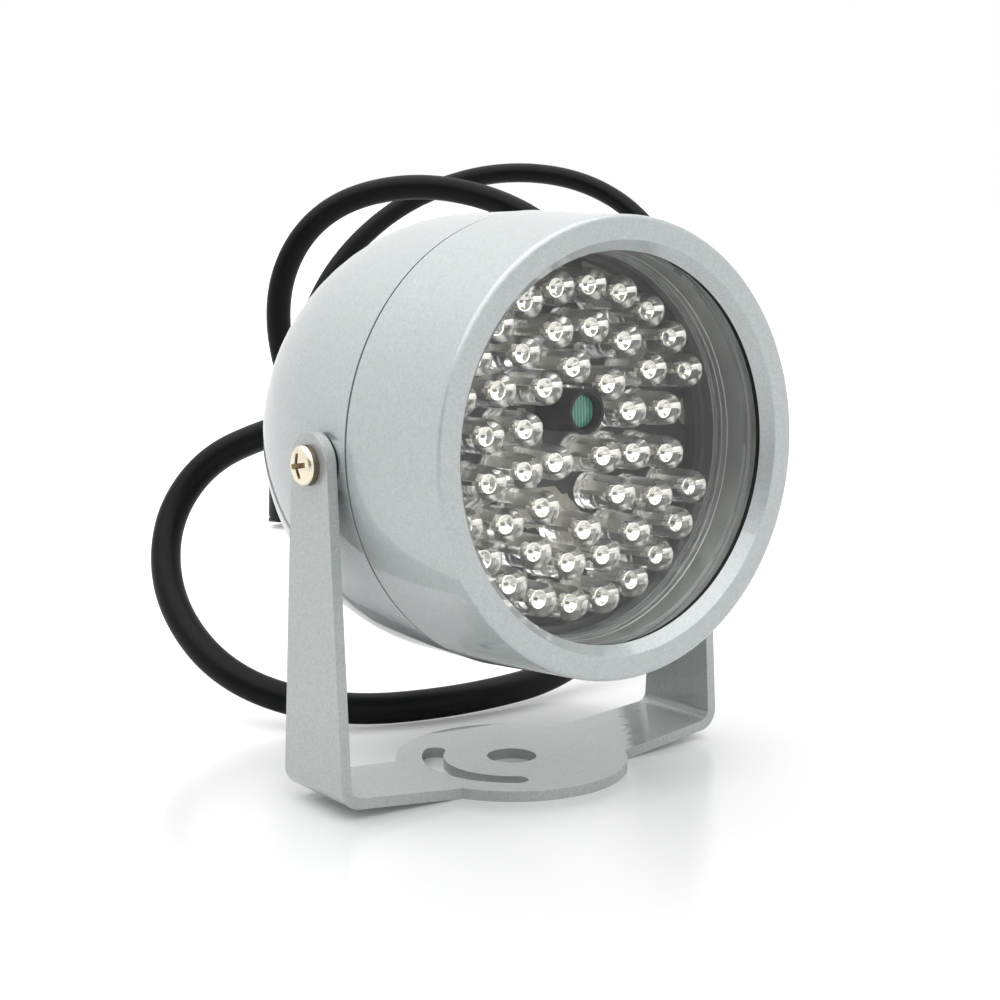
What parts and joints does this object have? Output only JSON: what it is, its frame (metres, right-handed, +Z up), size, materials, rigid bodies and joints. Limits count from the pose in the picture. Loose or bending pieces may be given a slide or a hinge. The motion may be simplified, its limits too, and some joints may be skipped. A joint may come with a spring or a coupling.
{
  "type": "infrared illuminator",
  "caption": "Round infrared lamp with a glazed field of emitters and a light sensor, tilting in a folded U bracket, with a corded power socket.",
  "frame": {"origin": "centre of the bracket's mounting hole, on the underside of the base, on the floor", "axes": "+Z up along the mounting hole, the lamp looks along -Y, the tilt axis lies along X"},
  "size_m": [0.2087, 0.2375, 0.093],
  "materials": {
    "silver_paint": "silver paint with a fine orange peel and metal flake on alloy",
    "bracket_paint": "silver-grey powder coat on folded steel sheet",
    "black_rubber": "matt black rubber",
    "window_glass": "clear flat glass",
    "anodised_alloy": "grey turned alloy",
    "ring_steel": "phosphated spring steel",
    "circuit_board": "circuit board with a tinned face",
    "clear_epoxy": "water-clear epoxy",
    "black_plastic": "matt black plastic",
    "sensor_ceramic": "green sensor face with fine winding lines",
    "standoff_brass": "nickel-washed brass",
    "nickel_plate": "bright nickel plate",
    "resistor_coat": "tan lacquer",
    "cord_jacket": "smooth satin black cord jacket",
    "red_insulation": "red insulation",
    "black_insulation": "black insulation"
  },
  "bodies": {
    "bracket": {"bracket": "bracket_paint", "power_cord": "cord_jacket", "socket_shell": "cord_jacket", "socket_core": "black_plastic", "socket_sleeve": "nickel_plate", "socket_pin": "nickel_plate"},
    "housing": {"front_barrel": "silver_paint", "rear_shell": "silver_paint", "seam_gasket": "black_rubber", "window_gasket": "black_rubber", "front_window": "window_glass", "spacer_sleeve": "anodised_alloy", "retaining_ring": "ring_steel", "board_seat_ring": "anodised_alloy", "board_clamp_ring": "anodised_alloy", "light_board": "circuit_board", "driver_board": "circuit_board", "outer_leds": "clear_epoxy", "middle_leds": "clear_epoxy", "inner_leds": "clear_epoxy", "centre_leds": "clear_epoxy", "sensor_tube": "black_plastic", "photocell": "sensor_ceramic", "board_standoffs": "standoff_brass", "board_screws": "nickel_plate", "driver_capacitor": "black_plastic", "driver_transistor": "black_plastic", "string_resistors": "resistor_coat", "pivot_screw_right": "nickel_plate", "pivot_screw_left": "nickel_plate", "pivot_washer_right": "black_plastic", "pivot_washer_left": "black_plastic", "cord_gland": "black_rubber", "gland_nut": "black_plastic", "cord_entry": "cord_jacket", "positive_lead": "red_insulation", "negative_lead": "black_insulation"}
  },
  "joints": [
    {"name": "housing_tilt", "type": "hinge", "parent": "bracket", "child": "housing", "pos_m": [0, 0, 0.04877], "axis": [1, 0, 0], "range_deg": [-50, 60], "deforming": ["power_cord"]}
  ]
}
